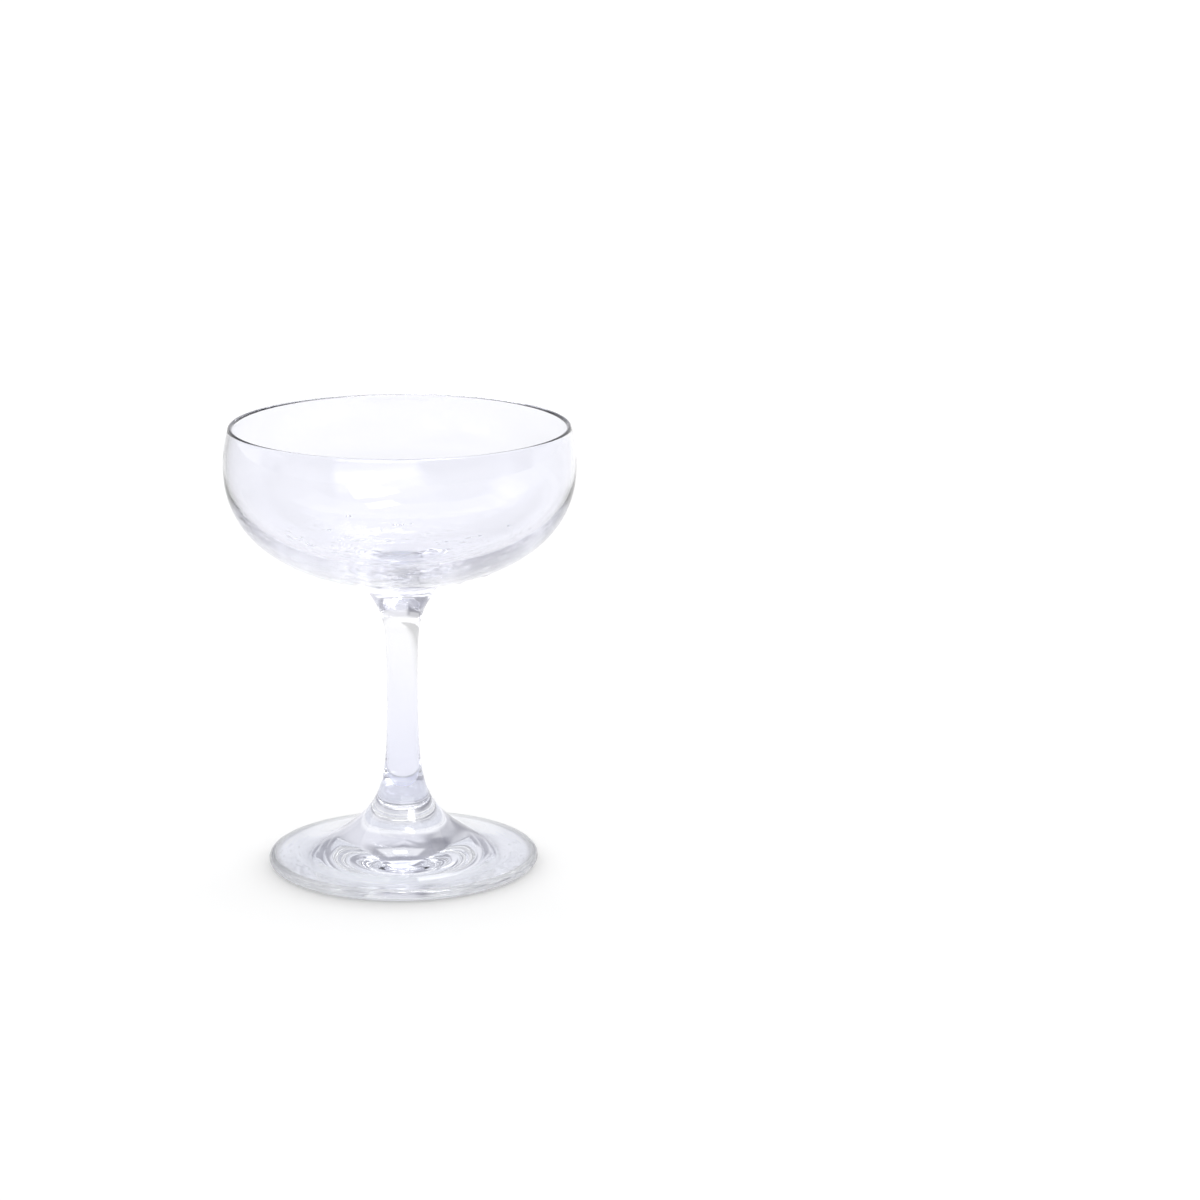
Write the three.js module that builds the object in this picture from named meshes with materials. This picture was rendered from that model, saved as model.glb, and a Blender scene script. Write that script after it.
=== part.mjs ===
// Footed ice cream glass in clear glass: a shallow blown bowl, a drawn solid stem and a spun foot.
// The three pieces meet at flat weld faces, where the real ones are fused while hot.
// Millimetres, +Z up. The origin is on the table, under the middle of the foot.
import * as THREE from "three";

// Whole glass
const GLASS_HEIGHT = 118; // table to the top of the lip
const SIDES = 64; // facets round the axis

// Bowl
const BELLY_RADIUS = 45.8; // outside, at the widest ring
const BELLY_DROP = 10.2; // top of the lip down to the widest ring
const LIP_TUCK = 1.4; // how far the lip draws in from the belly
const BOWL_DEPTH = 41; // top of the lip down to the lowest point of the bowl's round
const BOWL_FULLNESS = 2.26; // exponent of the round: 2 is an ellipse, more is squarer
const WALL = 1.1; // thickness of the lip and the side
const FLOOR_WALL = 3.4; // thickness of glass under the middle of the bowl
const BUTTON_RADIUS = 14; // where the neck under the bowl leaves its round
const BUTTON_DROP = 6.5; // lowest point of the round down to the weld with the stem

// Stem
const STEM_RADIUS = 4; // between its two flares
const NECK_RADIUS = 6.7; // at the weld with the bowl
const NECK_FADE = 4.6; // height in which the upper flare shrinks to about a third
const ANKLE_RADIUS = 7.6; // at the weld with the foot
const ANKLE_FADE = 6.5; // height in which the lower flare shrinks to about a third

// Foot
const FOOT_RADIUS = 35.7; // outside
const FOOT_HEIGHT = 17.5; // table to the weld with the stem
const FOOT_EDGE = 3.2; // thickness of the rounded edge
const FOOT_FALL = 0.09; // fall for each unit of run where the upper face meets the edge
const REST_WIDTH = 5; // width of the flat ring that stands on the table
const REST_INSET = 2.4; // outside of the foot in to that ring
const DISH_RISE = 2; // hollow under the foot, at its middle

// Welds
const WELD_SOFTENING = 0.25; // size of the softened corner on each side of a weld line

// Heights and slopes that follow from the sizes above
const BOWL_WELD = GLASS_HEIGHT - BOWL_DEPTH - BUTTON_DROP;
const STEM_LENGTH = BOWL_WELD - FOOT_HEIGHT;
const NECK_FLARE = (NECK_RADIUS - STEM_RADIUS) / NECK_FADE;
const ANKLE_FLARE = (ANKLE_RADIUS - STEM_RADIUS) / ANKLE_FADE;

const UPRIGHT = Math.PI / 2;
const SAME_POINT = 1e-6;

/** A point of an outline: its distance from the axis and its height. */
const at = (radius, height) => new THREE.Vector2(radius, height);

/** The round of a bowl below its belly: a quarter of a superellipse, from the belly down to the axis. */
class BowlRound extends THREE.Curve {
  constructor(radius, depth, bellyHeight) {
    super();
    Object.assign(this, { radius, depth, bellyHeight });
  }

  getPoint(t, target = new THREE.Vector2()) {
    const angle = t * UPRIGHT;
    const power = 2 / BOWL_FULLNESS;
    const radius = this.radius * Math.max(Math.cos(angle), 0) ** power;
    return target.set(radius, this.bellyHeight - this.depth * Math.sin(angle) ** power);
  }

  /** How far along the curve it has come in to a radius, from 0 at the belly to 1 on the axis. */
  whereRadiusIs(radius) {
    return Math.acos((radius / this.radius) ** (BOWL_FULLNESS / 2)) / UPRIGHT;
  }
}

/** Points along part of a curve, both ends included. */
function along(curve, steps, from = 0, to = 1) {
  return Array.from({ length: steps + 1 }, (_, i) => curve.getPoint(from + ((to - from) * i) / steps));
}

/** One outline from several stretches, with a point that two stretches share kept once. */
function joined(...stretches) {
  const isNew = (point, i, all) => i === 0 || point.distanceTo(all[i - 1]) > SAME_POINT;
  return stretches.flat().filter(isNew);
}

/** A solid of revolution about +Z. The outline runs from the axis, up round the outside, to the axis. */
function revolved(outline) {
  return new THREE.LatheGeometry(outline, SIDES).rotateX(UPRIGHT);
}

/** The softened corner of a weld face, from the face round to the side, where side is its next point. */
function softCorner(edge, side) {
  const onFace = at(edge.x - WELD_SOFTENING, edge.y);
  const onSide = edge.clone().lerp(side, WELD_SOFTENING / edge.distanceTo(side));
  return [onFace, onSide];
}

/** A trumpet from a weld's edge, which it leaves with a flare, to an end that it meets along a direction. */
function trumpet(edge, flare, end, inward) {
  const rise = (end.y - edge.y) / 2;
  const run = (end.x - edge.x) / 2;
  const leaving = at(edge.x + Math.abs(rise) * flare, edge.y + rise);
  const arriving = end.clone().addScaledVector(inward, run);
  return new THREE.CubicBezierCurve(edge, leaving, arriving, end);
}

/** Radius of the stem at a height above the foot: a slim rod with a flare that fades in from each end. */
function stemRadius(height) {
  const ankle = (ANKLE_RADIUS - STEM_RADIUS) * Math.exp(-height / ANKLE_FADE);
  const neck = (NECK_RADIUS - STEM_RADIUS) * Math.exp((height - STEM_LENGTH) / NECK_FADE);
  return STEM_RADIUS + ankle + neck;
}

/** The bowl, with its weld face at height 0. */
function bowlGeometry() {
  const bellyHeight = GLASS_HEIGHT - BELLY_DROP - BOWL_WELD;

  // Above the belly both faces are arcs about one centre, and the lip is a half round between them.
  const halfWall = WALL / 2;
  const lipRise = BELLY_DROP - halfWall;
  const midRadius = (lipRise ** 2 + LIP_TUCK ** 2) / (2 * LIP_TUCK);
  const centre = BELLY_RADIUS - halfWall - midRadius;
  const lean = Math.asin(lipRise / midRadius);
  const shoulder = (radius) => new THREE.EllipseCurve(centre, bellyHeight, radius, radius, 0, lean);
  const lipCentre = shoulder(midRadius).getPoint(1);
  const lip = new THREE.EllipseCurve(lipCentre.x, lipCentre.y, halfWall, halfWall, lean, lean + Math.PI);
  const lipTop = (UPRIGHT - lean) / Math.PI;

  const depth = BOWL_DEPTH - BELLY_DROP;
  const outerRound = new BowlRound(BELLY_RADIUS, depth, bellyHeight);
  const innerRound = new BowlRound(BELLY_RADIUS - WALL, depth - FLOOR_WALL, bellyHeight);

  // The neck comes up from the weld with the stem's flare and runs into the round along its tangent.
  const weldEdge = at(stemRadius(STEM_LENGTH), 0);
  const button = outerRound.whereRadiusIs(BUTTON_RADIUS);
  const neck = trumpet(weldEdge, NECK_FLARE, outerRound.getPoint(button), outerRound.getTangent(button));
  const neckSide = along(neck, 7).slice(1);

  return revolved(
    joined(
      [at(0, 0)],
      softCorner(weldEdge, neckSide[0]),
      neckSide,
      along(outerRound, 11, button, 0),
      along(shoulder(midRadius + halfWall), 3),
      along(lip, 2, 0, lipTop),
      along(lip, 3, lipTop, 1),
      along(shoulder(midRadius - halfWall), 3).reverse(),
      along(innerRound, 12),
    ),
  );
}

/** The stem, with its weld to the foot at height 0. */
function stemGeometry() {
  const rings = 16;
  const sidePoint = (_, i) => {
    const height = (STEM_LENGTH * (1 - Math.cos((Math.PI * i) / rings))) / 2; // closest near the welds
    return at(stemRadius(height), height);
  };
  const [ankle, ...side] = Array.from({ length: rings + 1 }, sidePoint);
  const neck = side.pop();

  return revolved(
    joined(
      [at(0, 0)],
      softCorner(ankle, side[0]),
      side,
      softCorner(neck, side.at(-1)).reverse(),
      [at(0, STEM_LENGTH)],
    ),
  );
}

/** The foot, standing on height 0. */
function footGeometry() {
  const restOuter = FOOT_RADIUS - REST_INSET;
  const restInner = restOuter - REST_WIDTH;

  // The hollow underneath is a shallow dome that runs out to the ring on the table.
  const domeRadius = (restInner ** 2 + DISH_RISE ** 2) / (2 * DISH_RISE);
  const domeEnd = UPRIGHT - Math.asin(restInner / domeRadius);
  const domeCentre = DISH_RISE - domeRadius;
  const dome = new THREE.EllipseCurve(0, domeCentre, domeRadius, domeRadius, UPRIGHT, domeEnd, true);

  // The edge is a half round, drawn in further below than above.
  const half = FOOT_EDGE / 2;
  const edgeTop = at(FOOT_RADIUS - half, FOOT_EDGE);
  const lowerEdge = new THREE.EllipseCurve(restOuter, half, REST_INSET, half, -UPRIGHT, 0);
  const upperEdge = new THREE.EllipseCurve(edgeTop.x, half, half, half, 0, UPRIGHT);

  // The upper face runs in from the edge and sweeps up into the weld with the stem's flare.
  const ankle = at(stemRadius(0), FOOT_HEIGHT);
  const inward = at(-1, FOOT_FALL).normalize();
  const face = trumpet(ankle, ANKLE_FLARE, edgeTop, inward);
  const faceSide = along(face, 12, 1, 0).slice(0, -1);

  return revolved(
    joined(
      along(dome, 4),
      along(lowerEdge, 3),
      along(upperEdge, 3),
      faceSide,
      softCorner(ankle, faceSide.at(-1)).reverse(),
      [at(0, FOOT_HEIGHT)],
    ),
  );
}

const clearGlass = new THREE.MeshStandardMaterial({
  color: 0xeef0fb,
  roughness: 0.03,
  metalness: 0,
  transparent: true,
  opacity: 0.35,
});

/** A named piece of clear glass at a height above the table. */
function piece(name, geometry, height) {
  const mesh = new THREE.Mesh(geometry, clearGlass.clone());
  mesh.name = name;
  mesh.position.z = height;
  return mesh;
}

// The stem stands on the foot, and the bowl stands on the stem.
const glass = new THREE.Group();
glass.name = "footed_ice_cream_glass";
glass.add(
  piece("foot", footGeometry(), 0),
  piece("stem", stemGeometry(), FOOT_HEIGHT),
  piece("bowl", bowlGeometry(), BOWL_WELD),
);

export default glass;
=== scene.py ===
"""Looks of a footed ice cream glass: a blown bowl, a drawn stem and a spun foot in clear glass.

Each piece is lathed to the sizes of the CAD frame, dressed in clear glass with its cords, haze and wear, and
stands on a pale studio floor. Lengths are in metres.
"""

import logging
import math
import random
from abc import ABC, abstractmethod
from dataclasses import dataclass, field
from enum import Enum, IntEnum
from typing import Callable, NamedTuple

import bpy
from mathutils import Matrix, Vector, noise


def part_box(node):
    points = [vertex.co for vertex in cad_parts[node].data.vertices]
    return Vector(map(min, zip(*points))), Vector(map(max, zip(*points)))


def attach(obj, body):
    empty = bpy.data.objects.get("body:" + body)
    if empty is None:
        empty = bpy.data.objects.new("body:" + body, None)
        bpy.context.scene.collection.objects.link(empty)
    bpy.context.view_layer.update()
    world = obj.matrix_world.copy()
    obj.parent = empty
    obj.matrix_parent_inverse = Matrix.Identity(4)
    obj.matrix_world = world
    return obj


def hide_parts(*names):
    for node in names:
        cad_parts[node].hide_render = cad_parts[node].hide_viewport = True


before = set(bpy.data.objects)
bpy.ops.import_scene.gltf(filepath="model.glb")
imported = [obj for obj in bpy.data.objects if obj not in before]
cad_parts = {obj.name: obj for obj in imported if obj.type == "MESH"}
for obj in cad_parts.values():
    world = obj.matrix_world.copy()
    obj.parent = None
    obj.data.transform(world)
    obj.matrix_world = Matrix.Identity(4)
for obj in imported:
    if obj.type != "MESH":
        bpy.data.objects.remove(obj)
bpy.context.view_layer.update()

LOG = logging.getLogger("footed_glass")
MM = 0.001
QUARTER_TURN = math.pi / 2
FULL_TURN = 2 * math.pi
SAME_POINT = 1e-7
TANGENT_STEP = 1e-4
NOISE_STEPS = 2  # of the noise to a wave
HALF_BOUNCE = 0.5

Colour = tuple[float, float, float]
Span = tuple[float, float]
Point = tuple[float, float, float]
Face = tuple[int, ...]
Socket = bpy.types.NodeSocket
Feed = float | Colour | Socket

WHITE: Colour = (1.0, 1.0, 1.0)


class Zone(IntEnum):
    """Finish of a strip of faces: the fire-polished skin, or the hidden face of a hot weld."""

    SKIN = 0
    WELD = 1


class Effect(Enum):
    """Surface effects that the glass finishes share, each a shader node group."""

    CORDS = "Glass cords"
    HAZE = "Handling haze"
    WEAR = "Resting wear"


class PanelShape(Enum):
    """How a studio panel is bounded: along the horizon, or as a flat box that hangs in the room."""

    BAND = "band"
    BOX = "box"


# Node trees

@dataclass
class NodeBoard:
    """Adds nodes to one node tree and links them."""

    tree: bpy.types.NodeTree

    def add(self, kind: str, **settings: object) -> bpy.types.Node:
        """Adds a node and sets its properties.

        Args:
            kind: Type name without the ShaderNode in front.
            settings: Properties of the node by name.

        Returns:
            The node.
        """
        node = self.tree.nodes.new(f"ShaderNode{kind}")
        for name, value in settings.items():
            setattr(node, name, value)
        return node

    def feed(self, socket: Socket, value: Feed) -> None:
        """Links a socket to another, or sets its number or colour.

        Args:
            socket: The socket that takes the value.
            value: What it takes.
        """
        if isinstance(value, Socket):
            self.tree.links.new(value, socket)
        elif isinstance(value, tuple) and len(value) == 3 and socket.type == "RGBA":
            socket.default_value = (*value, 1.0)
        else:
            socket.default_value = value

    def place(self) -> Socket:
        """Gives where a surface point lies on its object."""
        return self.add("TexCoord").outputs["Object"]

    def math(self, operation: str, *values: Feed) -> Socket:
        """Works out a number from one to three others.

        Args:
            operation: Name of the operation.
            values: What it works on.

        Returns:
            The number.
        """
        node = self.add("Math", operation=operation)
        for socket, value in zip(node.inputs, values):
            self.feed(socket, value)
        return node.outputs[0]

    def split(self, vector: Socket) -> tuple[Socket, Socket, Socket]:
        """Takes a vector apart.

        Args:
            vector: The vector.

        Returns:
            Its three parts.
        """
        node = self.add("SeparateXYZ")
        self.feed(node.inputs[0], vector)
        return tuple(node.outputs)

    def dot(self, vector: Socket, along: Vector) -> Socket:
        """Measures a vector along a direction.

        Args:
            vector: The vector.
            along: The direction.

        Returns:
            The length.
        """
        node = self.add("VectorMath", operation="DOT_PRODUCT")
        self.feed(node.inputs[0], vector)
        self.feed(node.inputs[1], tuple(along))
        return node.outputs["Value"]

    def radius(self, x: Socket, y: Socket) -> Socket:
        """Gives the distance from the axis."""
        square = self.math("ADD", self.math("MULTIPLY", x, x), self.math("MULTIPLY", y, y))
        return self.math("SQRT", square)

    def ramp(self, value: Feed, start: float, end: float, low: Feed = 0.0, high: Feed = 1.0) -> Socket:
        """Eases from one number to another while a value goes from start to end.

        Args:
            value: The value.
            start: Value at which the ramp begins.
            end: Value at which it ends.
            low: Number before it.
            high: Number after it.

        Returns:
            The number.
        """
        node = self.add("MapRange", interpolation_type="SMOOTHSTEP")
        for socket, number in zip(node.inputs, (value, start, end, low, high)):
            self.feed(socket, number)
        return node.outputs[0]

    def mix(self, share: Feed, low: Feed, high: Feed) -> Socket:
        """Mixes two colours by a share.

        Args:
            share: Share of the second colour.
            low: The first colour.
            high: The second colour.

        Returns:
            The mixed colour.
        """
        # A Mix node has its sockets for colours after those for numbers and vectors.
        node = self.add("Mix", data_type="RGBA")
        for socket, value in ((node.inputs[0], share), (node.inputs[6], low), (node.inputs[7], high)):
            self.feed(socket, value)
        return node.outputs[2]


# Finishes

class Group(NamedTuple):
    """A node group that is being built: its nodes, its inputs by name and the socket of its result."""

    board: NodeBoard
    given: dict[str, Socket]
    result: Socket


class GlassEffects:
    """The shared surface effects, each built once as a node group."""

    CORD_DETAIL = 1.0
    CLOUD_DETAIL = 2.0
    CLOUD_SPAN: Span = (0.42, 0.72)
    STROKE_SPAN: Span = (0.6, 0.72)
    NEAR_SPAN: Span = (1.0, 0.6)

    def __init__(self) -> None:
        """Builds every group."""
        makers = {Effect.CORDS: self._cords, Effect.HAZE: self._haze, Effect.WEAR: self._wear}
        self._groups = {effect: make(effect.value) for effect, make in makers.items()}

    def place(self, board: NodeBoard, effect: Effect, **values: float) -> Socket:
        """Puts an effect in a material.

        Args:
            board: The material's nodes.
            effect: Which effect.
            values: The effect's own values, by the names of its sockets.

        Returns:
            The effect's result.
        """
        node = board.add("Group", node_tree=self._groups[effect])
        for name, value in values.items():
            node.inputs[name.capitalize()].default_value = value
        return node.outputs[0]

    @staticmethod
    def _new(name: str, inputs: dict[str, float], output: str) -> Group:
        """Starts a group with number sockets.

        Args:
            name: The group's name.
            inputs: Its inputs with their usual values.
            output: Its one output.

        Returns:
            The group.
        """
        tree = bpy.data.node_groups.new(name, "ShaderNodeTree")
        for title, usual in inputs.items():
            socket = tree.interface.new_socket(title, in_out="INPUT", socket_type="NodeSocketFloat")
            socket.default_value = usual
        tree.interface.new_socket(output, in_out="OUTPUT", socket_type="NodeSocketFloat")
        given = tree.nodes.new("NodeGroupInput").outputs
        result = tree.nodes.new("NodeGroupOutput").inputs[0]
        return Group(NodeBoard(tree), {title: given[title] for title in inputs}, result)

    @staticmethod
    def _wrapped(board: NodeBoard, turns: Feed, rise: Feed, spread: Feed) -> Socket:
        """Gives coordinates that wrap round the axis without a seam.

        Args:
            board: The group's nodes.
            turns: Size of the circle that stands for a turn round the axis.
            rise: Steps for each metre of height.
            spread: Steps for each metre of radius.

        Returns:
            The coordinates.
        """
        x, y, z = board.split(board.place())
        radius = board.math("MAXIMUM", board.radius(x, y), MM)
        scale = board.math("DIVIDE", turns, radius)
        joined = board.add("CombineXYZ")
        board.feed(joined.inputs[0], board.math("MULTIPLY", x, scale))
        board.feed(joined.inputs[1], board.math("MULTIPLY", y, scale))
        upward, outward = board.math("MULTIPLY", z, rise), board.math("MULTIPLY", radius, spread)
        board.feed(joined.inputs[2], board.math("ADD", upward, outward))
        return joined.outputs[0]

    @staticmethod
    def _noise(board: NodeBoard, place: Feed, scale: Feed, detail: float) -> Socket:
        """Adds fractal noise.

        Args:
            board: The group's nodes.
            place: Coordinates.
            scale: How many times finer the noise is than they are.
            detail: Number of finer layers.

        Returns:
            The noise, from 0 to 1.
        """
        node = board.add("TexNoise")
        board.feed(node.inputs["Vector"], place)
        board.feed(node.inputs["Scale"], scale)
        board.feed(node.inputs["Detail"], detail)
        return node.outputs["Fac"]

    def _cords(self, name: str) -> bpy.types.NodeTree:
        """Builds the cords: threads of slightly different glass that show as faint waves.

        Args:
            name: The group's name.

        Returns:
            The group.
        """
        group = self._new(name, {"Turns": 4.0, "Rise": 300.0, "Spread": 300.0}, "Height")
        place = self._wrapped(group.board, *group.given.values())
        group.board.feed(group.result, self._noise(group.board, place, 1.0, self.CORD_DETAIL))
        return group.board.tree

    def _haze(self, name: str) -> bpy.types.NodeTree:
        """Builds the haze that hands and washing leave, as a roughness.

        Args:
            name: The group's name.

        Returns:
            The group.
        """
        group = self._new(name, {"Scale": 60.0, "Low": 0.0, "High": 0.05}, "Roughness")
        board, given = group.board, group.given
        cloud = self._noise(board, board.place(), given["Scale"], self.CLOUD_DETAIL)
        board.feed(group.result, board.ramp(cloud, *self.CLOUD_SPAN, given["Low"], given["High"]))
        return board.tree

    def _wear(self, name: str) -> bpy.types.NodeTree:
        """Builds fine strokes round the axis, near one height, as a mask.

        Args:
            name: The group's name.

        Returns:
            The group.
        """
        usual = {"Turns": 12.0, "Spread": 900.0, "Level": 0.0, "Reach": 0.001}
        group = self._new(name, usual, "Mask")
        board, given = group.board, group.given
        place = self._wrapped(board, given["Turns"], given["Spread"], given["Spread"])
        strokes = board.ramp(self._noise(board, place, 1.0, 0.0), *self.STROKE_SPAN)
        _, _, height = board.split(board.place())
        away = board.math("ABSOLUTE", board.math("SUBTRACT", height, given["Level"]))
        near = board.ramp(board.math("DIVIDE", away, given["Reach"]), *self.NEAR_SPAN)
        board.feed(group.result, board.math("MULTIPLY", strokes, near))
        return board.tree


@dataclass(frozen=True)
class Tint:
    """Cast of the glass, which changes with height, and a painted shade that greys it out at an edge."""

    low: Colour
    high: Colour
    span: Span
    # Painted shade: the colour that the glass takes out past the edge span.
    edge: Colour | None = None
    painted_edge_shade_span: Span = (1.0, 1.1)

    def build(self, board: NodeBoard) -> Socket:
        """Adds the cast and the painted edge shade to a material.

        Args:
            board: The material's nodes.

        Returns:
            The colour.
        """
        x, y, z = board.split(board.place())
        colour = board.mix(board.ramp(z, *self.span), self.low, self.high)
        if self.edge is None:
            return colour
        # Painted shade out at the edge.
        return board.mix(board.ramp(board.radius(x, y), *self.painted_edge_shade_span), colour, self.edge)


@dataclass(frozen=True)
class Cords:
    """Spacing of the cords round the axis, up it and out from it, and how deep they are."""

    turns: float
    rise: float
    spread: float
    depth: float


@dataclass(frozen=True)
class Wear:
    """Fine strokes near one height. The depth is a share of the cords' depth."""

    level: float
    reach: float
    turns: float
    spread: float
    depth: float
    roughness: float = 0.2


@dataclass(frozen=True)
class ClearGlass:
    """Fire-polished clear glass with a faint lavender cast, whose body takes a little of the light."""

    name: str
    tint: Tint
    cords: Cords
    wear: Wear
    haze: float = 0.02
    ior: float = 1.5
    body_colour: Colour = (0.9, 0.905, 0.95)
    body_density: float = 8.0

    def material(self, effects: GlassEffects) -> bpy.types.Material:
        """Builds the finish.

        Args:
            effects: The shared node groups.

        Returns:
            The material.
        """
        made = bpy.data.materials.new(self.name)
        made.use_nodes = True
        board = NodeBoard(made.node_tree)
        shader = made.node_tree.nodes["Principled BSDF"]
        haze = effects.place(board, Effect.HAZE, low=0.0, high=self.haze)
        cords = effects.place(
            board, Effect.CORDS, turns=self.cords.turns, rise=self.cords.rise, spread=self.cords.spread
        )
        wear = effects.place(
            board, Effect.WEAR, turns=self.wear.turns, spread=self.wear.spread,
            level=self.wear.level, reach=self.wear.reach,
        )
        bump = board.add("Bump")
        board.feed(bump.inputs["Distance"], self.cords.depth)
        board.feed(bump.inputs["Height"], board.math("MULTIPLY_ADD", wear, -self.wear.depth, cords))
        board.feed(shader.inputs["Base Color"], self.tint.build(board))
        board.feed(shader.inputs["Roughness"], board.math("MULTIPLY_ADD", wear, self.wear.roughness, haze))
        board.feed(shader.inputs["Normal"], bump.outputs[0])
        board.feed(shader.inputs["IOR"], self.ior)
        board.feed(shader.inputs["Transmission Weight"], 1.0)
        body = board.add("VolumeAbsorption")
        board.feed(body.inputs["Color"], self.body_colour)
        board.feed(body.inputs["Density"], self.body_density)
        board.feed(made.node_tree.nodes["Material Output"].inputs["Volume"], body.outputs[0])
        return made


@dataclass(frozen=True)
class FusedWeld:
    """The face of a hot weld, which can't be seen inside the fused glass."""

    name: str = "fused_weld"

    def material(self) -> bpy.types.Material:
        """Builds the finish.

        Returns:
            The material.
        """
        made = bpy.data.materials.new(self.name)
        made.use_nodes = True
        made.node_tree.nodes["Principled BSDF"].inputs["Alpha"].default_value = 0.0
        return made


BOWL_GLASS = ClearGlass(
    name="bowl_clear_glass",
    tint=Tint(low=(0.885, 0.89, 0.945), high=(0.955, 0.958, 0.998), span=(73 * MM, 82 * MM)),
    cords=Cords(turns=3.0, rise=260.0, spread=120.0, depth=0.01 * MM),
    wear=Wear(level=82 * MM, reach=6 * MM, turns=9.0, spread=900.0, depth=0.8),
)
STEM_GLASS = ClearGlass(
    name="stem_clear_glass",
    tint=Tint(low=(0.87, 0.88, 0.985), high=(0.985, 0.985, 0.99), span=(28 * MM, 70 * MM)),
    cords=Cords(turns=2.5, rise=40.0, spread=0.0, depth=0.03 * MM),
    wear=Wear(level=44 * MM, reach=20 * MM, turns=4.0, spread=60.0, depth=0.1),
)
FOOT_GLASS = ClearGlass(
    name="foot_clear_glass",
    tint=Tint(
        low=(0.94, 0.952, 0.98), high=(0.93, 0.935, 0.985), span=(4 * MM, 17 * MM),
        # Painted shade: a grey band at the foot's rounded edge.
        edge=(0.8, 0.81, 0.8), painted_edge_shade_span=(33.9 * MM, 34.6 * MM),
    ),
    cords=Cords(turns=2.0, rise=160.0, spread=160.0, depth=0.003 * MM),
    wear=Wear(level=0.0, reach=0.25 * MM, turns=10.0, spread=1200.0, depth=0.4),
)


# Outlines

class Ring(NamedTuple):
    """One ring of a lathed outline. The zone is that of the strip that runs on from it."""

    radius: float
    height: float
    zone: Zone = Zone.SKIN


Curve = Callable[[float], Ring]


def sample(curve: Curve, steps: int, start: float = 0.0, end: float = 1.0) -> list[Ring]:
    """Takes rings along part of a curve, both ends included.

    Args:
        curve: Gives a ring for a share of the curve from 0 to 1.
        steps: Number of strips.
        start: Share at which to begin.
        end: Share at which to stop.

    Returns:
        The rings in order.
    """
    return [curve(start + (end - start) * i / steps) for i in range(steps + 1)]


def arc(radius: float, height: float, wide: float, tall: float, start: float, end: float) -> Curve:
    """Makes a part of an ellipse.

    Args:
        radius: Distance of the ellipse's centre from the axis.
        height: Height of its centre.
        wide: Half its width.
        tall: Half its height.
        start: Angle at which it begins, in radians.
        end: Angle at which it stops.

    Returns:
        The curve.
    """

    def at(share: float) -> Ring:
        """Gives the ring at a share of the arc."""
        angle = start + (end - start) * share
        return Ring(radius + wide * math.cos(angle), height + tall * math.sin(angle))

    return at


def trumpet(edge: Ring, flare: float, end: Ring, inward: Vector) -> Curve:
    """Makes the flared side between a weld and the face that it runs into.

    Args:
        edge: The weld's edge, which the curve leaves with the flare.
        flare: Outward run for each unit of height there.
        end: Where the curve meets the face.
        inward: Unit direction of the face at that end, as radius and height, towards the axis.

    Returns:
        A cubic curve, from the weld to the face.
    """
    rise = (end.height - edge.height) / 2
    run = (end.radius - edge.radius) / 2
    points = (
        Vector((edge.radius, edge.height)),
        Vector((edge.radius + abs(rise) * flare, edge.height + rise)),
        Vector((end.radius, end.height)) + inward * run,
        Vector((end.radius, end.height)),
    )

    def at(share: float) -> Ring:
        """Gives the ring at a share of the side.

        Args:
            share: Share from 0 to 1.

        Returns:
            The ring.
        """
        rest = 1 - share
        weights = (rest**3, 3 * rest**2 * share, 3 * rest * share**2, share**3)
        point = sum((p * w for p, w in zip(points, weights)), Vector((0, 0)))
        return Ring(point.x, point.y)

    return at


def fade(value: float, start: float, end: float) -> float:
    """Eases from 0 to 1 while a value goes from start to end."""
    share = min(max((value - start) / (end - start), 0.0), 1.0)
    return share * share * (3 - 2 * share)


# Marks of the glassmaker's hand

class Ripple(NamedTuple):
    """A smooth unevenness that closes on itself round the axis, with about half as many waves as turns."""

    height: float
    turns: float
    spacing: float
    shift: float = 0.0

    def at(self, along: float, angle: float) -> float:
        """Gives the unevenness at a length along the outline and an angle round the axis."""
        rise = NOISE_STEPS * (along + self.shift) / self.spacing
        return self.height * noise.noise((self.turns * math.cos(angle), self.turns * math.sin(angle), rise))


class Dent(NamedTuple):
    """A shallow mark that the tools left in the hot bowl, longest round the axis."""

    radius: float
    height: float
    angle: float
    half_width: float
    half_length: float
    depth: float

    def reaches(self, ring: Ring, widths: float = 2.5, face_gap: float = 1.2 * MM) -> bool:
        """Tells whether a ring passes through the mark, on the same face of the glass.

        Args:
            ring: The ring.
            widths: Half widths to which the mark reaches.
            face_gap: Height in which a ring is taken to be on the mark's own face.

        Returns:
            Whether it does.
        """
        near = abs(ring.radius - self.radius) < widths * self.half_width
        return near and abs(ring.height - self.height) < face_gap

    def at(self, radius: float, angle: float, limit: float = 6.0) -> float:
        """Gives how far the mark lowers or lifts the surface at a point.

        Args:
            radius: Distance of the point from the axis.
            angle: Its angle round the axis.
            limit: Square of the distance, in half sizes of the mark, past which nothing is left of it.

        Returns:
            The lift.
        """
        across = (radius - self.radius) / self.half_width
        turn = (angle - self.angle + math.pi) % FULL_TURN - math.pi
        away = across**2 + (turn * self.radius / self.half_length) ** 2
        return self.depth * math.exp(-away) if away < limit else 0.0


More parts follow.
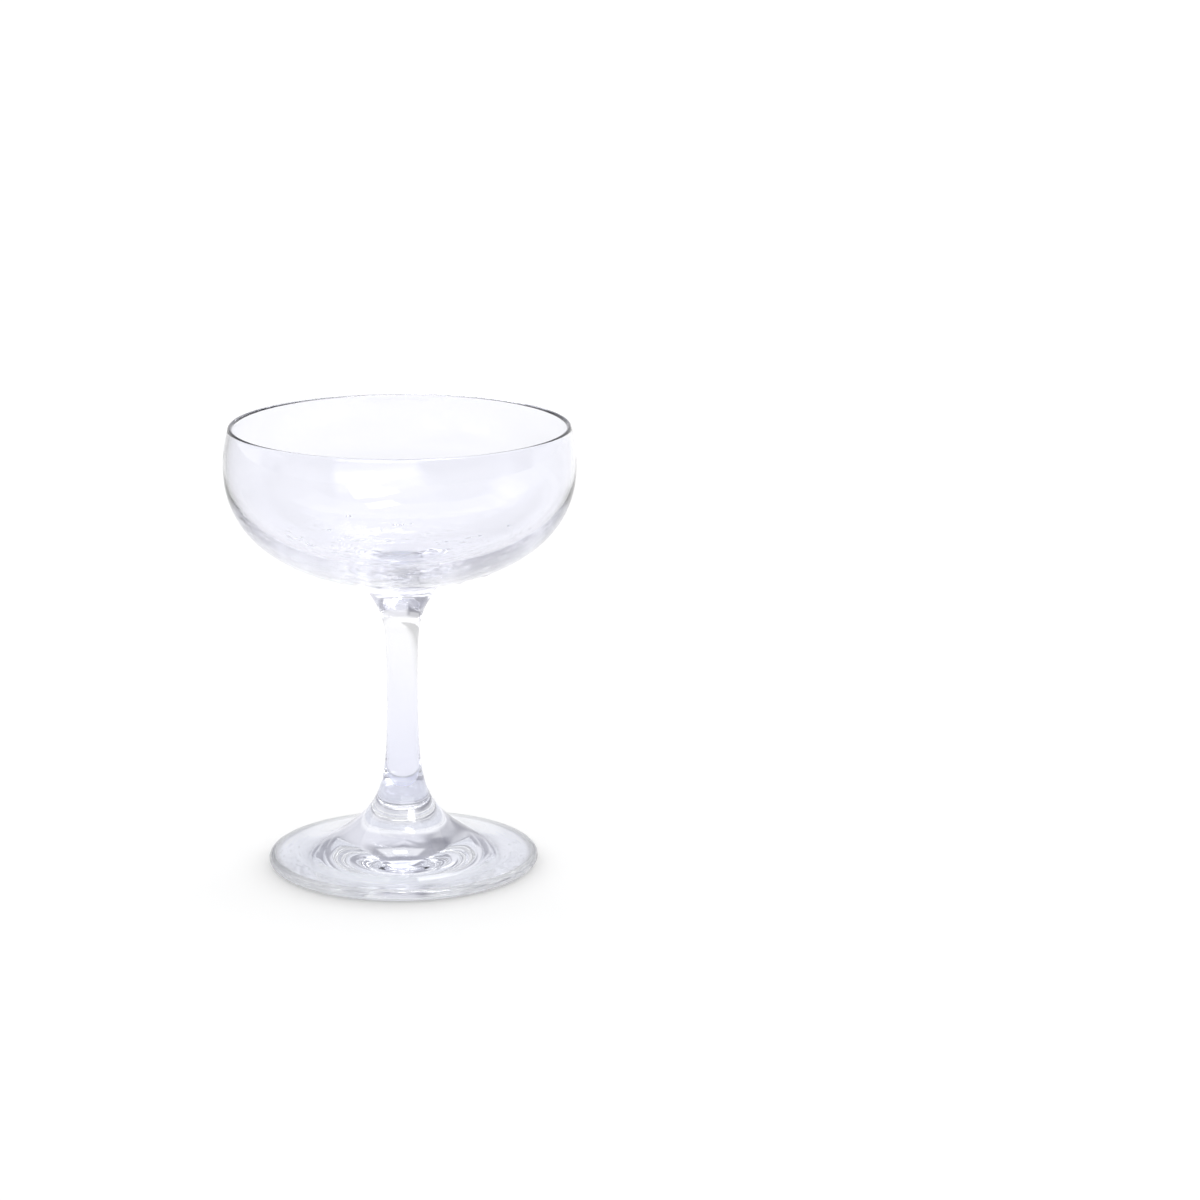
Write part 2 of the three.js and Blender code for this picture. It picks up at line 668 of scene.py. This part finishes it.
@dataclass(frozen=True)
class ToolMarks:
    """How the tools marked the bowl's thick bottom. Stretch and depth are shares of a mark's half width."""

    count: int = 90
    order: int = 7
    radii: Span = (7 * MM, 31 * MM)
    outside_share: float = 0.3
    half_width: Span = (0.35 * MM, 0.9 * MM)
    stretch: Span = (1.0, 2.6)
    depth: Span = (0.2, 0.5)
    senses: tuple[int, ...] = (-1, 1, 1)

    def scatter(self, bottom: Callable[[float, bool], float]) -> list[Dent]:
        """Scatters the marks over both faces, the same each time.

        Args:
            bottom: Gives the height of the outer or the inner face at a radius.

        Returns:
            The marks.
        """
        chance = random.Random(self.order)
        dents: list[Dent] = []
        for _ in range(self.count):
            radius = math.sqrt(chance.uniform(self.radii[0] ** 2, self.radii[1] ** 2))
            outside = chance.random() < self.outside_share
            half_width = chance.uniform(*self.half_width)
            dent = Dent(
                radius=radius,
                height=bottom(radius, outside),
                angle=chance.uniform(0, FULL_TURN),
                half_width=half_width,
                half_length=half_width * chance.uniform(*self.stretch),
                depth=half_width * chance.choice(self.senses) * chance.uniform(*self.depth),
            )
            dents.append(dent)
        return dents


class Bubble(NamedTuple):
    """A tiny bubble shut in the glass, with its three half axes."""

    centre: Vector
    axes: tuple[Vector, Vector, Vector]

    def shell(self, first: int, steps_round: int = 12, steps_down: int = 8) -> tuple[list[Point], list[Face]]:
        """Makes the bubble's closed wall, which faces inward because the glass is outside it.

        Args:
            first: Index of the first new vertex.
            steps_round: Faces round it.
            steps_down: Faces from pole to pole.

        Returns:
            Its vertices and faces.
        """
        across, ahead, up = self.axes
        verts = [tuple(self.centre + up), tuple(self.centre - up)]
        for row in range(1, steps_down):
            fall = math.pi * row / steps_down
            for step in range(steps_round):
                turn = FULL_TURN * step / steps_round
                flat = across * math.cos(turn) + ahead * math.sin(turn)
                verts.append(tuple(self.centre + flat * math.sin(fall) + up * math.cos(fall)))

        def index(row: int, step: int) -> int:
            """Gives the index of a vertex between the poles."""
            return first + 2 + (row - 1) * steps_round + step % steps_round

        faces: list[Face] = []
        for step in range(steps_round):
            after = step + 1
            faces.append((first, index(1, after), index(1, step)))
            faces.append((first + 1, index(steps_down - 1, step), index(steps_down - 1, after)))
            for row in range(1, steps_down - 1):
                low = row + 1
                faces.append((index(row, step), index(row, after), index(low, after), index(low, step)))
        return verts, faces


@dataclass(frozen=True)
class Bubbles:
    """How bubbles lie in the wall of the bowl, most of them low down.

    The place is a share of the round, from 0 at the belly to 1 on the axis. The size is for a wall of 1 mm.
    """

    count: int = 34
    order: int = 11
    lowest: float = 0.9
    crowding: float = 0.22
    size: Span = (0.2 * MM, 0.36 * MM)
    thick: float = 2.4 * MM
    stretch: tuple[float, float, float] = (0.8, 1.4, 1.0)

    def scatter(self, outside: Curve, inside: Curve) -> list[Bubble]:
        """Scatters the bubbles along the middle of the wall, the same each time.

        Args:
            outside: The bowl's outer round.
            inside: Its inner round.

        Returns:
            The bubbles.
        """
        chance = random.Random(self.order)
        made: list[Bubble] = []
        for _ in range(self.count):
            share = self.lowest * chance.random() ** self.crowding
            outer, inner = outside(share), inside(share)
            turn = Matrix.Rotation(chance.uniform(0, FULL_TURN), 3, "Z")
            half = Vector((outer.radius - inner.radius, 0.0, outer.height - inner.height)) / 2
            size = chance.uniform(*self.size) * math.sqrt(min(2 * half.length, self.thick) / MM)
            through, ahead = (turn @ half).normalized(), turn @ Vector((0.0, 1.0, 0.0))
            directions = (through, ahead, through.cross(ahead))
            axes = tuple(way * size * part for way, part in zip(directions, self.stretch))
            centre = turn @ Vector((inner.radius + half.x, 0.0, inner.height + half.z))
            made.append(Bubble(centre, axes))
        return made


# Pieces of glass

@dataclass(frozen=True)
class GlassSizes:
    """Sizes that the pieces share. What the frame shows is measured on it."""

    lip_height: float
    belly_radius: float
    bowl_weld: float
    foot_weld: float
    foot_radius: float
    stem_radius: float = 4.0 * MM
    neck_radius: float = 6.7 * MM
    neck_fade: float = 4.6 * MM
    ankle_radius: float = 7.6 * MM
    ankle_fade: float = 6.5 * MM

    @classmethod
    def from_frame(cls) -> "GlassSizes":
        """Measures the nodes of the frame.

        Returns:
            The sizes.
        """
        bowl_low, bowl_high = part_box("bowl")
        _, foot_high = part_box("foot")
        return cls(
            lip_height=bowl_high.z,
            belly_radius=bowl_high.x,
            bowl_weld=bowl_low.z,
            foot_weld=foot_high.z,
            foot_radius=foot_high.x,
        )

    @property
    def neck_flare(self) -> float:
        """Outward run for each unit of rise at the weld under the bowl."""
        return (self.neck_radius - self.stem_radius) / self.neck_fade

    @property
    def ankle_flare(self) -> float:
        """Outward run for each unit of fall at the weld on the foot."""
        return (self.ankle_radius - self.stem_radius) / self.ankle_fade

    def stem_side(self, height: float) -> float:
        """Gives the radius of the stem at a height: a slim rod with a flare that fades in from each end.

        Args:
            height: Height above the table.

        Returns:
            The radius.
        """
        ankle = (self.ankle_radius - self.stem_radius) * math.exp((self.foot_weld - height) / self.ankle_fade)
        neck = (self.neck_radius - self.stem_radius) * math.exp((height - self.bowl_weld) / self.neck_fade)
        return self.stem_radius + ankle + neck


@dataclass
class LathedPiece(ABC):
    """A piece of glass turned about the axis. Each kind gives its node, its finish and its outline."""

    sizes: GlassSizes
    node: str
    finish: ClearGlass
    steps_round: int = 256

    @abstractmethod
    def outline(self) -> list[Ring]:
        """Gives the rings from the axis, up round the outside, back to the axis."""

    def relief(self, ring: Ring, along: float, angle: float) -> float:
        """Gives how far the hand-worked surface stands off the true outline at a point.

        Args:
            ring: The ring that the point is on.
            along: Length of the outline up to that ring.
            angle: Angle round the axis.

        Returns:
            The distance outward.
        """
        return 0.0

    def bubbles(self) -> list[Bubble]:
        """Lists the bubbles shut in the glass."""
        return []

    def build(self) -> bpy.types.Object:
        """Makes the piece's closed mesh, in place of its CAD node.

        Returns:
            The new object, riding on the glass's one body.
        """
        verts: list[Point] = []
        faces: list[Face] = []
        zones: list[Zone] = []
        outline = self._distinct()
        rings = [self._add_ring(outline, place, verts) for place in range(len(outline))]
        for ring, low, high in zip(outline, rings, rings[1:]):
            strip = self._strip(low, high)
            faces.extend(strip)
            zones.extend([ring.zone] * len(strip))
        for bubble in self.bubbles():
            shell_verts, shell_faces = bubble.shell(len(verts))
            verts.extend(shell_verts)
            faces.extend(shell_faces)
            zones.extend([Zone.SKIN] * len(shell_faces))
        mesh = bpy.data.meshes.new(f"{self.node}_glass")
        mesh.from_pydata(verts, [], faces)
        mesh.polygons.foreach_set("material_index", [int(zone) for zone in zones])
        mesh.polygons.foreach_set("use_smooth", [zone is Zone.SKIN for zone in zones])
        self._sharpen_welds(mesh)
        mesh.update()
        piece = bpy.data.objects.new(f"{self.node}_glass", mesh)
        bpy.context.scene.collection.objects.link(piece)
        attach(piece, "root")
        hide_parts(self.node)
        return piece

    def dress(self, piece: bpy.types.Object, effects: GlassEffects, weld: bpy.types.Material) -> None:
        """Gives the piece its glass and its weld faces their finish, in the order of the zones.

        Args:
            piece: The built piece.
            effects: The shared node groups.
            weld: Finish of a weld face.
        """
        piece.data.materials.append(self.finish.material(effects))
        piece.data.materials.append(weld)

    def _distinct(self) -> list[Ring]:
        """Gives the outline with a point that two stretches share kept once.

        Returns:
            The rings.
        """
        kept: list[Ring] = []
        for ring in self.outline():
            if kept and math.dist(kept[-1][:2], ring[:2]) < SAME_POINT:
                kept[-1] = ring
            else:
                kept.append(ring)
        return kept

    def _add_ring(self, outline: list[Ring], place: int, verts: list[Point]) -> list[int]:
        """Adds a ring's vertices, or one on the axis.

        Args:
            outline: All rings.
            place: Which of them to add.
            verts: The vertices so far, which grow.

        Returns:
            Indices of the new vertices.
        """
        ring, first = outline[place], len(verts)
        if ring.radius < SAME_POINT:
            verts.append((0.0, 0.0, ring.height))
            return [first]
        before, after = outline[max(place - 1, 0)], outline[min(place + 1, len(outline) - 1)]
        side = Vector((after.height - before.height, before.radius - after.radius)).normalized()
        along = sum(math.dist(a[:2], b[:2]) for a, b in zip(outline[:place], outline[1 : place + 1]))
        for step in range(self.steps_round):
            angle = FULL_TURN * step / self.steps_round
            off = self.relief(ring, along, angle)
            radius = ring.radius + side.x * off
            verts.append((radius * math.cos(angle), radius * math.sin(angle), ring.height + side.y * off))
        return list(range(first, first + self.steps_round))

    def _strip(self, low: list[int], high: list[int]) -> list[Face]:
        """Gives the faces between two rings, either of which may be a point on the axis.

        Args:
            low: Indices of the first ring.
            high: Indices of the next.

        Returns:
            The faces.
        """
        pairs = [(i, (i + 1) % self.steps_round) for i in range(self.steps_round)]
        if len(low) == 1:
            return [(low[0], high[j], high[i]) for i, j in pairs]
        if len(high) == 1:
            return [(low[i], low[j], high[0]) for i, j in pairs]
        return [(low[i], low[j], high[j], high[i]) for i, j in pairs]

    @staticmethod
    def _sharpen_welds(mesh: bpy.types.Mesh) -> None:
        """Keeps the smooth skin's normals clear of the flat weld faces.

        Args:
            mesh: The piece's mesh.
        """
        weld_faces = (face for face in mesh.polygons if face.material_index == Zone.WELD)
        weld_keys = {key for face in weld_faces for key in face.edge_keys}
        for edge in mesh.edges:
            edge.use_edge_sharp = edge.key in weld_keys


@dataclass
class Bowl(LathedPiece):
    """The blown bowl, thin at the lip and thick at the bottom, with its solid neck."""

    node: str = "bowl"
    finish: ClearGlass = BOWL_GLASS
    steps_round: int = 352
    belly_drop: float = 10.2 * MM
    lip_tuck: float = 1.4 * MM
    depth: float = 41.0 * MM
    fullness: float = 2.26
    wall: float = 1.1 * MM
    floor_wall: float = 3.4 * MM
    button_radius: float = 14.0 * MM
    neck_strips: int = 32
    outside_strips: int = 90
    shoulder_strips: int = 14
    lip_strips: int = 12
    inside_strips: int = 100
    bottom_wave: float = 0.05 * MM
    side_wave: float = 0.006 * MM
    coarse: Ripple = Ripple(height=1.0, turns=3.0, spacing=6 * MM)
    fine: Ripple = Ripple(height=0.5, turns=7.0, spacing=2.4 * MM, shift=0.5)
    weld_margin: Span = (1 * MM, 5 * MM)
    lip_margin: Span = (1 * MM, 6 * MM)
    bottom_span: Span = (38 * MM, 18 * MM)
    tool_marks: ToolMarks = ToolMarks()
    bubble_scatter: Bubbles = Bubbles()
    dents: list[Dent] = field(init=False)

    def __post_init__(self) -> None:
        """Scatters the tool marks."""
        self.dents = self.tool_marks.scatter(self._bottom)

    @property
    def belly_height(self) -> float:
        """Height of the widest ring."""
        return self.sizes.lip_height - self.belly_drop

    @property
    def outer_round(self) -> Curve:
        """The outer face below the belly."""
        return self._round(self.sizes.belly_radius, self.depth - self.belly_drop)

    @property
    def inner_round(self) -> Curve:
        """The inner face below the belly."""
        depth = self.depth - self.belly_drop - self.floor_wall
        return self._round(self.sizes.belly_radius - self.wall, depth)

    def bubbles(self) -> list[Bubble]:
        """Lists the bubbles in the wall."""
        return self.bubble_scatter.scatter(self.outer_round, self.inner_round)

    def relief(self, ring: Ring, along: float, angle: float) -> float:
        """Gives the waves and marks of the thick bottom, which fade towards the side and the weld.

        Args:
            ring: The ring that the point is on.
            along: Length of the outline up to that ring.
            angle: Angle round the axis.

        Returns:
            The distance outward.
        """
        weld, lip = self.sizes.bowl_weld, self.sizes.lip_height
        clear = fade(ring.height, weld + self.weld_margin[0], weld + self.weld_margin[1])
        bottom = self.bottom_wave * fade(ring.radius, *self.bottom_span)
        side = self.side_wave * fade(ring.height, lip - self.lip_margin[0], lip - self.lip_margin[1])
        coarse, fine = self.coarse.at(along, angle), self.fine.at(along, angle)
        marks = sum(dent.at(ring.radius, angle) for dent in self.dents if dent.reaches(ring))
        return clear * (bottom * (coarse + fine) + side * coarse + marks)

    def outline(self) -> list[Ring]:
        """Gives the weld, the neck, the outside, the lip and the inside.

        Returns:
            The rings.
        """
        sizes = self.sizes
        half_wall = self.wall / 2
        lip_rise = self.belly_drop - half_wall
        middle = (lip_rise**2 + self.lip_tuck**2) / (2 * self.lip_tuck)
        centre = sizes.belly_radius - half_wall - middle
        lean = math.asin(lip_rise / middle)

        def shoulder(radius: float) -> Curve:
            """Makes an arc from the belly up to the lip."""
            return arc(centre, self.belly_height, radius, radius, 0, lean)

        lip_centre = shoulder(middle)(1)
        lip = arc(lip_centre.radius, lip_centre.height, half_wall, half_wall, lean, lean + math.pi)
        outside = self.outer_round
        button = math.acos((self.button_radius / sizes.belly_radius) ** (self.fullness / 2)) / QUARTER_TURN
        leave, after = outside(button), outside(button + TANGENT_STEP)
        inward = Vector((after.radius - leave.radius, after.height - leave.height)).normalized()
        edge = Ring(sizes.stem_side(sizes.bowl_weld), sizes.bowl_weld)
        neck = trumpet(edge, sizes.neck_flare, leave, inward)
        return [
            Ring(0.0, sizes.bowl_weld, Zone.WELD),
            *sample(neck, self.neck_strips),
            *sample(outside, self.outside_strips, button, 0),
            *sample(shoulder(middle + half_wall), self.shoulder_strips),
            *sample(lip, self.lip_strips),
            *sample(shoulder(middle - half_wall), self.shoulder_strips, 1, 0),
            *sample(self.inner_round, self.inside_strips),
        ]

    def _round(self, radius: float, depth: float) -> Curve:
        """Makes a round below the belly, a quarter of a superellipse from the belly down to the axis.

        Args:
            radius: Its radius at the belly.
            depth: Its fall to the axis.

        Returns:
            The curve.
        """
        power = 2 / self.fullness

        def at(share: float) -> Ring:
            """Gives the ring at a share of the round.

            Args:
                share: Share from 0 to 1.

            Returns:
                The ring.
            """
            angle = share * QUARTER_TURN
            across = radius * max(math.cos(angle), 0.0) ** power
            return Ring(across, self.belly_height - depth * max(math.sin(angle), 0.0) ** power)

        return at

    def _bottom(self, radius: float, outside: bool) -> float:
        """Gives the height of the bowl's outer or inner face at a radius.

        Args:
            radius: Distance from the axis.
            outside: Whether the outer face is meant.

        Returns:
            The height.
        """
        across = self.sizes.belly_radius - (0.0 if outside else self.wall)
        depth = self.depth - self.belly_drop - (0.0 if outside else self.floor_wall)
        share = (1 - (radius / across) ** self.fullness) ** (1 / self.fullness)
        return self.belly_height - depth * share


@dataclass
class Stem(LathedPiece):
    """The solid drawn rod, flared into the bowl above and the foot below."""

    node: str = "stem"
    finish: ClearGlass = STEM_GLASS
    steps_round: int = 128
    strips: int = 120
    draw_line: Ripple = Ripple(height=0.03 * MM, turns=1.6, spacing=30 * MM)
    fine_line: Ripple = Ripple(height=0.015 * MM, turns=3.0, spacing=12 * MM, shift=0.3)
    weld_margin: float = 6 * MM

    def relief(self, ring: Ring, along: float, angle: float) -> float:
        """Gives the long draw lines of the rod, which fade out at the welds.

        Args:
            ring: The ring that the point is on.
            along: Length of the outline up to that ring.
            angle: Angle round the axis.

        Returns:
            The distance outward.
        """
        low, high = self.sizes.foot_weld, self.sizes.bowl_weld
        above = fade(ring.height, low, low + self.weld_margin)
        below = fade(ring.height, high, high - self.weld_margin)
        return above * below * (self.draw_line.at(along, angle) + self.fine_line.at(along, angle))

    def outline(self) -> list[Ring]:
        """Gives the weld on the foot, the side and the weld under the bowl.

        Returns:
            The rings.
        """
        sizes = self.sizes
        low, high = sizes.foot_weld, sizes.bowl_weld

        def side(share: float) -> Ring:
            """Gives the ring at a share of the side."""
            height = low + (high - low) * share
            return Ring(sizes.stem_side(height), height)

        rings = sample(side, self.strips)
        rings[-1] = rings[-1]._replace(zone=Zone.WELD)
        return [Ring(0.0, low, Zone.WELD), *rings, Ring(0.0, high)]


@dataclass
class Foot(LathedPiece):
    """The spun foot, with its cone, rounded edge, flat resting ring and hollow underside."""

    node: str = "foot"
    finish: ClearGlass = FOOT_GLASS
    edge: float = 3.2 * MM
    face_fall: float = 0.09
    rest_width: float = 5.0 * MM
    rest_inset: float = 2.4 * MM
    dish_rise: float = 2.0 * MM
    hollow_strips: int = 40
    edge_strips: int = 16
    face_strips: int = 100
    coarse: Ripple = Ripple(height=0.022 * MM, turns=1.8, spacing=10 * MM)
    fine: Ripple = Ripple(height=0.0055 * MM, turns=3.0, spacing=5 * MM, shift=0.2)
    weld_margin: float = 4 * MM
    face_share: float = 0.2
    face_span: Span = (34 * MM, 28 * MM)
    cone_span: Span = (26 * MM, 19 * MM)

    def relief(self, ring: Ring, along: float, angle: float) -> float:
        """Gives the unevenness of the spun faces, strongest at the cone and gone at the edge and the weld.

        Args:
            ring: The ring that the point is on.
            along: Length of the outline up to that ring.
            angle: Angle round the axis.

        Returns:
            The distance outward.
        """
        weld = self.sizes.foot_weld
        clear = fade(ring.height, weld, weld - self.weld_margin)
        face, cone = fade(ring.radius, *self.face_span), fade(ring.radius, *self.cone_span)
        share = self.face_share * face + (1 - self.face_share) * cone
        return clear * share * (self.coarse.at(along, angle) + self.fine.at(along, angle))

    def outline(self) -> list[Ring]:
        """Gives the hollow, the resting ring, the edge, the upper face and the weld.

        Returns:
            The rings.
        """
        sizes = self.sizes
        rest_outer = sizes.foot_radius - self.rest_inset
        rest_inner = rest_outer - self.rest_width
        dome = (rest_inner**2 + self.dish_rise**2) / (2 * self.dish_rise)
        dome_end = QUARTER_TURN - math.asin(rest_inner / dome)
        hollow = arc(0.0, self.dish_rise - dome, dome, dome, QUARTER_TURN, dome_end)
        half = self.edge / 2
        edge_top = Ring(sizes.foot_radius - half, self.edge)
        lower_edge = arc(rest_outer, half, self.rest_inset, half, -QUARTER_TURN, 0)
        upper_edge = arc(edge_top.radius, half, half, half, 0, QUARTER_TURN)
        ankle = Ring(sizes.stem_side(sizes.foot_weld), sizes.foot_weld)
        inward = Vector((-1.0, self.face_fall)).normalized()
        face = sample(trumpet(ankle, sizes.ankle_flare, edge_top, inward), self.face_strips, 1, 0)
        face[-1] = face[-1]._replace(zone=Zone.WELD)
        return [
            *sample(hollow, self.hollow_strips),
            *sample(lower_edge, self.edge_strips),
            *sample(upper_edge, self.edge_strips),
            *face,
            Ring(0.0, sizes.foot_weld),
        ]


# Studio

def mirrored(board: NodeBoard, path: bpy.types.Node) -> Socket:
    """Gives 1 for what shows in gloss or through glass."""
    return board.math("MAXIMUM", path.outputs["Is Glossy Ray"], path.outputs["Is Transmission Ray"])


def seen(board: NodeBoard, path: bpy.types.Node) -> Socket:
    """Gives 1 for what the camera sees, directly, in gloss or through glass.

    Args:
        board: Nodes of a material or the world.
        path: Their Light Path node.

    Returns:
        The number.
    """
    either = board.math("MAXIMUM", path.outputs["Is Camera Ray"], mirrored(board, path))
    first = board.math("LESS_THAN", path.outputs["Diffuse Depth"], HALF_BOUNCE)
    return board.math("MULTIPLY", either, first)


@dataclass(frozen=True)
class Panel:
    """A patch of the studio round the glass: a lit softbox, a white wall or a dark flag.

    Angles are in degrees. Azimuth 0 is on the camera's side, and 90 is on its right.
    """

    shape: PanelShape
    azimuth: float
    elevation: float
    half_width: float
    half_height: float
    softness: float
    colour: Colour

    def over(self, board: NodeBoard, direction: Socket, under: Feed) -> Socket:
        """Lays the panel over what is behind it.

        Args:
            board: The world's nodes.
            direction: Where a ray looks.
            under: Colour of what is behind.

        Returns:
            The colour with the panel.
        """
        turn = Matrix.Rotation(math.radians(self.azimuth), 3, "Z")
        lift = math.radians(self.elevation)
        aside = board.dot(direction, turn @ Vector((1.0, 0.0, 0.0)))
        if self.shape is PanelShape.BAND:
            ahead = board.dot(direction, turn @ Vector((0.0, -1.0, 0.0)))
            across = board.math("ARCTAN2", aside, ahead)
            up = board.math("ARCSINE", board.dot(direction, Vector((0.0, 0.0, 1.0))))
            rise = board.math("SUBTRACT", up, lift)
        else:
            ahead = board.dot(direction, turn @ Vector((0.0, -math.cos(lift), math.sin(lift))))
            above = board.dot(direction, turn @ Vector((0.0, math.sin(lift), math.cos(lift))))
            across = board.math("ARCSINE", aside)
            rise = board.math("ARCTAN2", above, ahead)
        wide = self._inside(board, across, self.half_width)
        tall = self._inside(board, rise, self.half_height)
        return board.mix(board.math("MULTIPLY", wide, tall), under, self.colour)

    def _inside(self, board: NodeBoard, angle: Feed, half: float) -> Socket:
        """Gives 1 inside a half angle and 0 outside, eased over the softness."""
        size = board.math("ABSOLUTE", angle)
        return board.ramp(size, math.radians(half + self.softness), math.radians(half - self.softness))


@dataclass(frozen=True)
class Floor:
    """The pale floor, with a lift that only the camera and the glass see, so that it shows as white; in the
    glass it also shows a painted glow under the foot and painted shade to the left.
    """

    half: float = 30.0
    sink: float = 0.05 * MM
    colour: Colour = (0.85, 0.85, 0.85)
    lift: float = 0.22
    glass_lift: float = 0.19
    # Painted glow: an emission under the foot, hidden from the camera, that brightens the floor the glass
    # shows there.
    painted_glow_span: Span = (33.6 * MM, 31.9 * MM)
    painted_glow_lift: float = 0.36
    painted_glow_colour: Colour = (0.97, 0.985, 1.04)
    # Painted shade: for all but camera rays, the floor's colour and lift darken towards the left.
    painted_shade_span: Span = (-0.35, -0.1)
    painted_shade_level: float = 0.82

    def build(self) -> bpy.types.Object:
        """Lays the floor just under the resting ring.

        Returns:
            The floor.
        """
        half, low = self.half, -self.sink
        mesh = bpy.data.meshes.new("floor")
        corners = [(-half, -half, low), (half, -half, low), (half, half, low), (-half, half, low)]
        mesh.from_pydata(corners, [], [(0, 1, 2, 3)])
        mesh.materials.append(self._material())
        floor = bpy.data.objects.new("floor", mesh)
        bpy.context.scene.collection.objects.link(floor)
        return floor

    def _material(self) -> bpy.types.Material:
        """Builds the matt finish, with painted shade towards the left and a painted glow under the foot,
        which the glass sees.

        Returns:
            The material.
        """
        made = bpy.data.materials.new("pale_floor")
        made.use_nodes = True
        board = NodeBoard(made.node_tree)
        shader = made.node_tree.nodes["Principled BSDF"]
        path = board.add("LightPath")
        direct = path.outputs["Is Camera Ray"]
        x, y, _ = board.split(board.place())
        # Painted shade: 1 where the floor is unshaded, falling to 0 towards the left; always 1 for the
        # camera.
        lit = board.math("MAXIMUM", direct, board.ramp(x, *self.painted_shade_span))
        painted_shade_colour = tuple(self.painted_shade_level * part for part in self.colour)
        # Painted glow: 1 under the foot, where the floor glows for the glass, with its own tint.
        under = board.ramp(board.radius(x, y), *self.painted_glow_span)
        glow = board.math("MULTIPLY", under, self.painted_glow_lift)
        beyond = board.math("MULTIPLY_ADD", lit, self.glass_lift, glow)
        lift = board.math("MULTIPLY_ADD", direct, self.lift - self.glass_lift, beyond)
        board.feed(shader.inputs["Base Color"], board.mix(lit, painted_shade_colour, self.colour))
        board.feed(shader.inputs["Roughness"], 1.0)
        board.feed(shader.inputs["Specular IOR Level"], 0.0)
        board.feed(shader.inputs["Emission Color"], board.mix(under, WHITE, self.painted_glow_colour))
        board.feed(shader.inputs["Emission Strength"], board.math("MULTIPLY", seen(board, path), lift))
        return made


@dataclass(frozen=True)
class Studio:
    """The floor, the soft light, the room that shows in the glass, and the camera."""

    camera_place: Point = (51.97 * MM, -914.1 * MM, 296.9 * MM)
    pitch_down: float = math.radians(13.846)
    roll: float = math.radians(0.231)
    lens: float = 107.9
    sensor: float = 36.0
    far: float = 200.0
    floor: Floor = Floor()
    ambient: Colour = (0.78, 0.78, 0.78)
    lamps: tuple[Panel, ...] = (Panel(PanelShape.BAND, 172, 15, 65, 9, 5, (4.6, 4.6, 4.6)),)
    shade: Colour = (0.7, 0.7, 0.71)
    room: Colour = (0.44, 0.44, 0.48)
    panels: tuple[Panel, ...] = (
        # Walls and flags along the horizon: azimuth, elevation, half width, half height, softness, colour
        Panel(PanelShape.BAND, 262, 17, 18, 9, 6, (0.95, 0.95, 0.98)),
        Panel(PanelShape.BAND, 262, 35, 18, 9, 5, (1.7, 1.7, 1.7)),
        Panel(PanelShape.BAND, 145, 17, 25, 10, 6, (0.84, 0.84, 0.88)),
        Panel(PanelShape.BAND, 215, 20, 22, 8, 5, (0.3, 0.3, 0.34)),
        Panel(PanelShape.BAND, 214, 14, 16, 5, 3, (0.62, 0.62, 0.65)),
        Panel(PanelShape.BAND, 178, 17, 16, 10, 6, (0.85, 0.85, 0.9)),
        Panel(PanelShape.BAND, 180, 0, 80, 8, 4, (1.05, 1.05, 1.06)),
        Panel(PanelShape.BAND, 0, 2, 80, 8, 5, (0.9, 0.9, 0.92)),
        Panel(PanelShape.BAND, -52, 44, 24, 14, 6, (0.4, 0.4, 0.44)),
        Panel(PanelShape.BAND, 98, 38, 26, 14, 6, (0.8, 0.8, 0.84)),
        # Softboxes overhead, in the same order
        Panel(PanelShape.BOX, 180, 42, 15, 8, 2, (0.9, 0.9, 0.92)),
        Panel(PanelShape.BOX, 180, 72, 40, 13, 2, (1.3, 1.3, 1.3)),
        Panel(PanelShape.BOX, 23, 72, 27, 14, 3.5, (1.0, 1.0, 1.02)),
        Panel(PanelShape.BOX, 23, 43, 27, 15, 3.5, (2.5, 2.5, 2.5)),
        Panel(PanelShape.BOX, 38, 53, 9, 9, 2, (14.0, 14.0, 14.0)),
        Panel(PanelShape.BOX, 40, 75, 7, 4, 2, (12.0, 12.0, 12.0)),
        Panel(PanelShape.BOX, 180, 41, 4, 2.5, 1.5, (3.0, 3.0, 3.0)),
    )
    bounces: int = 32

    def build(self) -> None:
        """Makes the whole set."""
        self._camera()
        self.floor.build()
        self._world()
        cycles = bpy.context.scene.cycles
        cycles.max_bounces = self.bounces
        cycles.glossy_bounces = self.bounces
        cycles.transmission_bounces = self.bounces
        cycles.transparent_max_bounces = self.bounces

    def _camera(self) -> None:
        """Puts the camera where the photograph was taken."""
        data = bpy.data.cameras.new("camera")
        data.lens = self.lens
        data.sensor_width = self.sensor
        data.clip_end = self.far
        camera = bpy.data.objects.new("camera", data)
        tilt = Matrix.Rotation(QUARTER_TURN - self.pitch_down, 4, "X") @ Matrix.Rotation(self.roll, 4, "Z")
        camera.matrix_world = Matrix.Translation(self.camera_place) @ tilt
        bpy.context.scene.collection.objects.link(camera)
        bpy.context.scene.camera = camera

    def _world(self) -> None:
        """Lights the set evenly, and gives gloss and glass the studio's panels."""
        world = bpy.data.worlds.new("studio")
        bpy.context.scene.world = world
        world.use_nodes = True
        board = NodeBoard(world.node_tree)
        path = board.add("LightPath")
        direction = board.add("TexCoord").outputs["Generated"]
        shown: Feed = self.room
        for panel in self.panels:
            shown = panel.over(board, direction, shown)
        soft: Feed = self.ambient
        for lamp in self.lamps:
            soft = lamp.over(board, direction, soft)
        ambient = board.mix(mirrored(board, path), soft, self.shade)
        studio = board.mix(seen(board, path), ambient, shown)
        white = board.mix(path.outputs["Is Camera Ray"], studio, WHITE)
        board.feed(world.node_tree.nodes["Background"].inputs["Color"], white)


def main() -> None:
    """Builds and dresses the glass, then the set that it stands in."""
    logging.basicConfig(level=logging.INFO, format="%(name)s: %(message)s")
    bpy.context.scene.view_settings.view_transform = "Standard"
    sizes = GlassSizes.from_frame()
    effects = GlassEffects()
    weld = FusedWeld().material()
    for maker in (Bowl(sizes), Stem(sizes), Foot(sizes)):
        piece = maker.build()
        maker.dress(piece, effects, weld)
        LOG.info("%s: %d faces in %s", piece.name, len(piece.data.polygons), maker.finish.name)
    Studio().build()
    LOG.info("studio: floor, light and camera")


if __name__ == "__main__":
    main()
